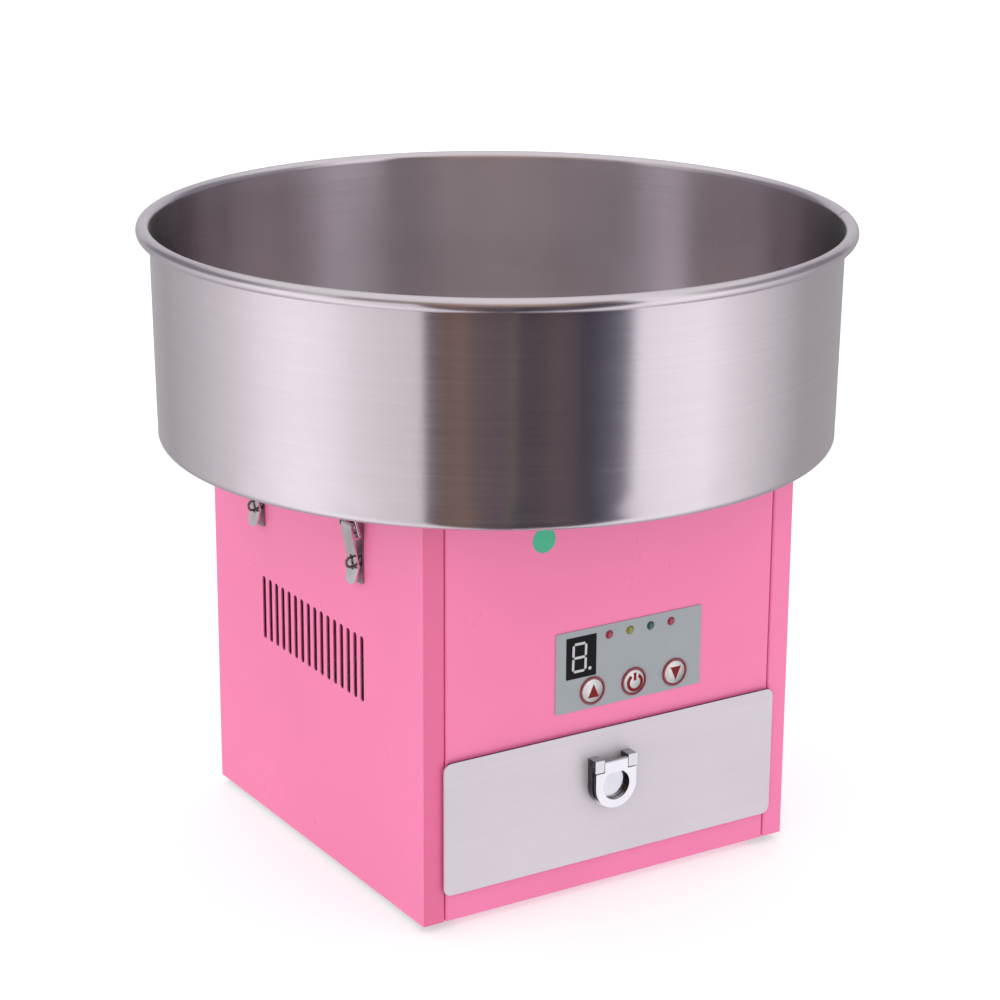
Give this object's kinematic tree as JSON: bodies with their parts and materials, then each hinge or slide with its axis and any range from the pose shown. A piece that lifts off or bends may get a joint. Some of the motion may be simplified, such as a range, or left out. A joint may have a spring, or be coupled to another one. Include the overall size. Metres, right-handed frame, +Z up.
{
  "type": "cotton candy machine",
  "caption": "Countertop cotton candy machine with a folded sheet cabinet, drawer, push-button panel, heated spinner head and lift-off round bowl held by toggle latches.",
  "frame": {"origin": "on the table, under the centre of the cabinet and bowl", "axes": "+X to the right seen from the front, -Y towards the front, +Z up"},
  "size_m": [0.5199, 0.52, 0.4665],
  "materials": {
    "pink_paint": "satin pink powder coat",
    "galvanised": "bare galvanised sheet",
    "black_rubber": "matt",
    "screw_steel": "zinc plated",
    "overlay_grey": "grey printed film",
    "display_black": "dark filter",
    "lamp_red": "unlit lens",
    "lamp_yellow": "unlit lens",
    "lamp_green": "unlit lens",
    "bezel_red": "moulded",
    "button_silver": "silver lacquer",
    "circuit_board": "green solder mask",
    "sticker_green": "plain green dot",
    "black_plastic": "moulded",
    "plated_steel": "nickel plated",
    "motor_shell": "black enamel",
    "bearing_steel": "ground",
    "laminations": "varnished laminations",
    "carbon": "graphite",
    "slip_brass": "turned",
    "cast_aluminium": "turned casting",
    "spinner_steel": "rolled strip",
    "bowl_steel": "fine brushed stainless",
    "drawer_steel": "fine brushed stainless",
    "handle_chrome": "polished"
  },
  "bodies": {
    "cabinet": {"left_side_panel": "pink_paint", "right_side_panel": "pink_paint", "front_panel": "pink_paint", "rear_panel": "pink_paint", "bottom_plate": "galvanised", "top_deck": "galvanised", "rubber_feet": "black_rubber", "panel_screws": "screw_steel", "control_overlay": "overlay_grey", "display_module": "display_black", "leds_red": "lamp_red", "led_yellow": "lamp_yellow", "led_green": "lamp_green", "button_bezels": "bezel_red", "control_board": "circuit_board", "inspection_sticker": "sticker_green", "power_inlet": "black_plastic", "drawer_runners": "galvanised", "bowl_seat_gasket": "black_rubber", "latch_bases": "plated_steel", "latch_pins": "plated_steel", "latch_staples": "plated_steel", "motor_housing": "motor_shell", "motor_end_cap": "motor_shell", "motor_bearings": "bearing_steel", "motor_stator": "laminations", "motor_plate": "galvanised", "motor_isolators": "black_rubber", "brush_holder": "black_plastic", "carbon_brushes": "carbon", "heat_shield": "galvanised"},
    "spinner": {"drive_shaft": "bearing_steel", "motor_rotor": "laminations", "motor_fan": "black_plastic", "slip_ring_sleeve": "black_plastic", "slip_rings": "slip_brass", "spinner_dish": "cast_aluminium", "heating_element": "spinner_steel", "spinner_band": "spinner_steel", "spinner_cover": "cast_aluminium", "spinner_nut": "bearing_steel"},
    "bowl": {"bowl_wall": "bowl_steel", "bowl_floor": "bowl_steel", "bowl_keepers": "plated_steel"},
    "drawer": {"drawer_front": "drawer_steel", "drawer_box": "drawer_steel", "handle_base": "handle_chrome", "handle_pin": "handle_chrome"},
    "handle": {"handle_ring": "handle_chrome"},
    "button_up": {"button_up": "button_silver"},
    "button_power": {"button_power": "button_silver"},
    "button_down": {"button_down": "button_silver"},
    "lever_left_front": {"latch_lever_left_front": "plated_steel"},
    "bail_left_front": {"latch_bail_left_front": "plated_steel"},
    "lever_left_rear": {"latch_lever_left_rear": "plated_steel"},
    "bail_left_rear": {"latch_bail_left_rear": "plated_steel"},
    "lever_right_front": {"latch_lever_right_front": "plated_steel"},
    "bail_right_front": {"latch_bail_right_front": "plated_steel"},
    "lever_right_rear": {"latch_lever_right_rear": "plated_steel"},
    "bail_right_rear": {"latch_bail_right_rear": "plated_steel"}
  },
  "joints": [
    {"name": "spinner_spin", "type": "hinge", "parent": "cabinet", "child": "spinner", "pos_m": [0, 0, 0.3], "axis": [0, 0, 1], "continuous": true},
    {"name": "bowl_lift", "type": "slide", "parent": "cabinet", "child": "bowl", "axis": [0, 0, 1], "range_m": [0, 0.25]},
    {"name": "drawer_slide", "type": "slide", "parent": "cabinet", "child": "drawer", "axis": [0, -1, 0], "range_m": [0, 0.2]},
    {"name": "handle_swing", "type": "hinge", "parent": "drawer", "child": "handle", "pos_m": [-0.0045, -0.1702, 0.103], "axis": [-1, 0, 0], "range_deg": [0, 95]},
    {"name": "button_up_press", "type": "slide", "parent": "cabinet", "child": "button_up", "axis": [0, 1, 0], "range_m": [0, 0.001], "stiffness_N_per_m": 600, "springref_m": -0.0005},
    {"name": "button_power_press", "type": "slide", "parent": "cabinet", "child": "button_power", "axis": [0, 1, 0], "range_m": [0, 0.001], "stiffness_N_per_m": 600, "springref_m": -0.0005},
    {"name": "button_down_press", "type": "slide", "parent": "cabinet", "child": "button_down", "axis": [0, 1, 0], "range_m": [0, 0.001], "stiffness_N_per_m": 600, "springref_m": -0.0005},
    {"name": "lever_left_front_turn", "type": "hinge", "parent": "cabinet", "child": "lever_left_front", "pos_m": [-0.1632, -0.0692, 0.2785], "axis": [0, 1, 0], "range_deg": [0, 95]},
    {"name": "bail_left_front_turn", "type": "hinge", "parent": "lever_left_front", "child": "bail_left_front", "pos_m": [-0.1598, -0.0692, 0.2709], "axis": [0, 1, 0], "range_deg": [-95, 0]},
    {"name": "lever_left_rear_turn", "type": "hinge", "parent": "cabinet", "child": "lever_left_rear", "pos_m": [-0.1632, 0.0811, 0.2785], "axis": [0, 1, 0], "range_deg": [0, 95]},
    {"name": "bail_left_rear_turn", "type": "hinge", "parent": "lever_left_rear", "child": "bail_left_rear", "pos_m": [-0.1598, 0.0811, 0.2709], "axis": [0, 1, 0], "range_deg": [-95, 0]},
    {"name": "lever_right_front_turn", "type": "hinge", "parent": "cabinet", "child": "lever_right_front", "pos_m": [0.1632, -0.0692, 0.2785], "axis": [0, -1, 0], "range_deg": [0, 95]},
    {"name": "bail_right_front_turn", "type": "hinge", "parent": "lever_right_front", "child": "bail_right_front", "pos_m": [0.1598, -0.0692, 0.2709], "axis": [0, -1, 0], "range_deg": [-95, 0]},
    {"name": "lever_right_rear_turn", "type": "hinge", "parent": "cabinet", "child": "lever_right_rear", "pos_m": [0.1632, 0.0811, 0.2785], "axis": [0, -1, 0], "range_deg": [0, 95]},
    {"name": "bail_right_rear_turn", "type": "hinge", "parent": "lever_right_rear", "child": "bail_right_rear", "pos_m": [0.1598, 0.0811, 0.2709], "axis": [0, -1, 0], "range_deg": [-95, 0]}
  ],
  "couplings": [
    {"joint": "bail_left_front_turn", "follows": "lever_left_front_turn", "ratio": -1},
    {"joint": "bail_left_rear_turn", "follows": "lever_left_rear_turn", "ratio": -1},
    {"joint": "bail_right_front_turn", "follows": "lever_right_front_turn", "ratio": -1},
    {"joint": "bail_right_rear_turn", "follows": "lever_right_rear_turn", "ratio": -1}
  ]
}
